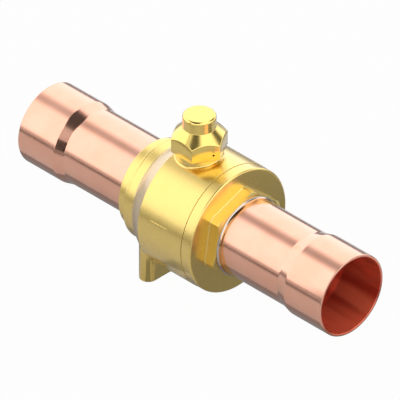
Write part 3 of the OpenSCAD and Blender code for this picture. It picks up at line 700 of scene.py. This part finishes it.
def braze_fillet(name, face, sign, seed):
    """Ring of a hollow fillet whose reach along the tube swells by a few slow waves.

    At the angle u of its quarter circle it stands h(1 - sin u) off the tube and r(1 - cos u)
    off the brass, h and r being its height and its reach.
    """
    segments = 256
    angles = around(segments)
    phases = np.random.default_rng(seed).uniform(0, 2 * np.pi, 4)
    swell = sum(np.sin(k * angles + phase) / k for k, phase in zip((2, 3, 5, 9), phases)) / 2
    turn = np.linspace(0, np.pi / 2, 12)
    radii = tube_r + 0.15 + (braze_foot + foot_swell * swell - 0.1) * (1 - np.sin(turn))
    places = face + 0.15 + (braze_reach + reach_swell * swell) * (1 - np.cos(turn))
    end = places[:, -1:]
    radii = columns(segments, braze_inner_r, radii[:, :1] + 0.02, radii, tube_r + 0.03, braze_inner_r)
    places = columns(segments, face - 0.3, face, places, end + 0.1, end + 0.08)
    return grid_mesh(name, about_pipe(sign * places, radii, angles), closed=True)


def silver_braze():
    """Pale flowed metal with soft ripples, and brown near the copper as a painted reflection of the brass.
    """
    material, tree = new_material("silver braze")
    place = add_node(tree, "ShaderNodeTexCoord").outputs["Object"]
    rough = grain(tree, place, 3, 3, spread=(0.08, 0.16))
    # Painted reflection: the braze is coloured brown where it nears the copper, as if it mirrored the brass.
    painted_brass_reflection = add_node(tree, "ShaderNodeMapRange", Value=pipe_radius(tree, place),
                    FromMin=brass_reflection_start_r / 1000, FromMax=brass_reflection_full_r / 1000, ToMin=0.0, ToMax=1.0)
    colour = add_node(tree, "ShaderNodeMix", as_colour, (painted_brass_reflection, linear("#d2ccc4"), linear("#d89a62")))
    normal = add_node(tree, "ShaderNodeBump", Height=grain(tree, place, 1.6, 3), Distance=0.01 / 1000)
    shader = add_node(tree, "ShaderNodeBsdfPrincipled", BaseColor=colour, Roughness=rough, Metallic=1.0,
                      Normal=normal)
    add_node(tree, "ShaderNodeOutputMaterial", Surface=shader)
    return material


braze = silver_braze()
for name, face, sign, seed in (("inlet_braze_ring", -collar_end, -1, 2),
                               ("outlet_braze_ring", outlet_x, 1, 4)):
    finish_piece(braze_fillet(name + "_flowed", face, sign, seed), "housing", braze, name)


# Cap
# Turned brass cap from hexagon bar: a cone turned over the hexagon, a round knob on top,
# and a small vent hole through one flat near its lower edge.

cap_base, cone_z, knob_z, cap_top = 48.0, 58.0, 65.7, 74.7
cap_flat_r, cap_round, cap_turn_deg, knob_r, knob_round = 16.5, 0.35, 30, 11.15, 2.0
cap_hollow_r, cap_hollow_top, gasket_top, cap_thread_r = 9.4, 71.0, 59.35, 13.1
vent_r, vent_y, vent_z, drill_start, drill_length, drill_turn_deg = 0.8, 5.1, 52.0, 10.0, 8.0, -30
cap_sharp_deg = 40


def cap_shell():
    """Columns round the hexagon, up to the height where the cone has the column's radius.

    The cone falls from the knob's foot to the hexagon's corners, so a column of radius r
    meets it at the knob's foot minus (r minus the knob's radius) times the cone's slope.
    """
    angles, radii = hexagon(cap_flat_r, cap_round, cap_turn_deg)
    slope = (knob_z - cone_z) / (cap_flat_r / math.cos(math.pi / 6) - knob_r)
    meet = knob_z - (radii - knob_r) * slope
    step = np.linspace(0.03, 0.97, 10)
    cone_r = radii - 0.2 + (knob_r + 0.25 - radii + 0.2) * step
    knob = rounded([(knob_r + 0.25, knob_z - 0.25 * slope, 0), (knob_r, knob_z, 0.4),
                    (knob_r, cap_top, knob_round), (0.0, cap_top, 0)], 11)[1:]
    inside = np.array([(0.0, cap_hollow_top), (cap_hollow_r - 0.1, cap_hollow_top),
                       (cap_hollow_r, cap_hollow_top - 0.1), (cap_hollow_r, gasket_top),
                       (cap_thread_r, gasket_top), (cap_thread_r, cap_base + 0.5),
                       (cap_thread_r + 0.6, cap_base)])
    rows_r = columns(len(radii), inside[:, 0], radii - 0.45, radii - 0.12, radii, radii, radii - 0.05,
                     cone_r, knob[:, 0])
    rows_z = columns(len(radii), inside[:, 1], cap_base, cap_base + 0.05, cap_base + 0.3, meet - 0.12,
                     meet + 0.02, knob_z - (cone_r - knob_r) * slope, knob[:, 1])
    return grid_mesh("cap_turned", about_stem(rows_r, rows_z, angles), sharp=cap_sharp_deg)


def drill_vent(cap):
    """Cuts the vent with a drill: rings r(cos t, sin t) about a line out through one flat."""
    turn = around(32)[:, 0]
    ring = np.stack([drill_start + 0 * turn, vent_y + vent_r * np.cos(turn),
                     vent_z + axis_height + vent_r * np.sin(turn)], -1)
    drill = stacked_rings("drill", np.stack([ring, ring + [drill_length, 0, 0]]))
    drill.data.transform(Matrix.Rotation(math.radians(drill_turn_deg), 4, "Z"))
    cut = cap.modifiers.new("vent", "BOOLEAN")
    cut.object = drill
    cut.operation = "DIFFERENCE"
    cut.solver = "EXACT"
    bpy.context.view_layer.update()
    drilled = bpy.data.meshes.new_from_object(cap.evaluated_get(bpy.context.evaluated_depsgraph_get()))
    cap.modifiers.clear()
    cap.data = drilled
    drilled.set_sharp_from_angle(angle=math.radians(cap_sharp_deg))
    bpy.data.objects.remove(drill)


def cap_brass():
    """Bright yellow brass, whose sheen runs down its sides across the fine turning marks.

    The marks run about the stem axis and are drawn coarser than the real 0.05 mm.
    """
    material, tree = new_material("turned cap brass")
    place = add_node(tree, "ShaderNodeTexCoord").outputs["Object"]
    marks = grain(tree, place, 0.1, 2, (300, 300, 1))
    blotches = grain(tree, place, 5, 3, spread=(0, 1))
    rough = grain(tree, place, 2, 3, spread=(0.16, 0.19))
    colour = add_node(tree, "ShaderNodeMix", as_colour, (blotches, linear("#f9d974"), linear("#f7d671")))
    normal = add_node(tree, "ShaderNodeBump", Height=marks, Distance=0.0004 / 1000)
    shader = add_node(tree, "ShaderNodeBsdfPrincipled", BaseColor=colour, Roughness=rough, Metallic=1.0,
                      Normal=normal, **clear_film)
    add_node(tree, "ShaderNodeOutputMaterial", Surface=shader)
    return material


cap = cap_shell()
drill_vent(cap)
finish_piece(cap, "cap", cap_brass(), "seal_cap")


# Pieces inside
# The ball, stem, seats, seal rings, washers, pin and circlip keep their CAD shapes, with
# their corners joined so that round faces shade smooth.

def joined_copy(node):
    """Smooth copy of a CAD node, in which corners that fall together to 0.001 mm are one."""
    mesh = frame["nodes"][node].data
    places = np.zeros(len(mesh.vertices) * 3)
    mesh.vertices.foreach_get("co", places)
    places = places.reshape(-1, 3) * 1000
    corners = np.zeros(len(mesh.loops), np.int32)
    mesh.loops.foreach_get("vertex_index", corners)
    _, first, merged = np.unique(np.round(places, 3), axis=0, return_index=True, return_inverse=True)
    triangles = merged.ravel()[corners].reshape(-1, 3)
    return raw_mesh(node + "_smooth", places[first], triangles[:, [0, 1, 2, 2]], 30)


def plain_finish(name, base, dark, roughness, metallic, grain_mm, grain_height):
    """Even material with a fine grain, a slightly uneven gloss and, if given, darker spots."""
    material, tree = new_material(name)
    place = add_node(tree, "ShaderNodeTexCoord").outputs["Object"]
    colour = linear(base)
    if dark:
        spots = grain(tree, place, 4, 3, spread=(0, 1))
        colour = add_node(tree, "ShaderNodeMix", as_colour, (spots, colour, linear(dark)))
    rough = grain(tree, place, 2.5, 3, spread=roughness)
    normal = add_node(tree, "ShaderNodeBump", Height=grain(tree, place, grain_mm, 3),
                      Distance=grain_height / 1000)
    shader = add_node(tree, "ShaderNodeBsdfPrincipled", BaseColor=colour, Roughness=rough,
                      Metallic=metallic, Normal=normal)
    add_node(tree, "ShaderNodeOutputMaterial", Surface=shader)
    return material


# The ball is bright as a mirror and the stem warm and duller. PTFE is waxy and off-white,
# the seal rings are a dull black, and the oiled steel of pin, washer and circlip is grey.
inner_finishes = {
    "plated_ball": plain_finish("chrome plated ball", "#d9dcdf", None, (0.05, 0.1), 1.0, 0.6, 0.0008),
    "plated_stem": plain_finish("nickel plated stem", "#cfc9bd", None, (0.2, 0.3), 1.0, 0.2, 0.002),
    "ptfe": plain_finish("white PTFE", "#ece9e1", "#e4e0d6", (0.35, 0.5), 0.0, 0.5, 0.004),
    "black_rubber": plain_finish("black nitrile rubber", "#1b1b1d", "#232325", (0.5, 0.65), 0.0, 0.25, 0.01),
    "spring_steel": plain_finish("tempered spring steel", "#8d8f94", "#7b7c82", (0.28, 0.4), 1.0, 0.3,
                                 0.004),
}
bodies = {node: body for body, nodes in frame["record"]["behaviour"]["bodies"].items() for node in nodes}
for node, slot in material_slots.items():
    if slot in inner_finishes:
        finish_piece(joined_copy(node), bodies[node], inner_finishes[slot], node)
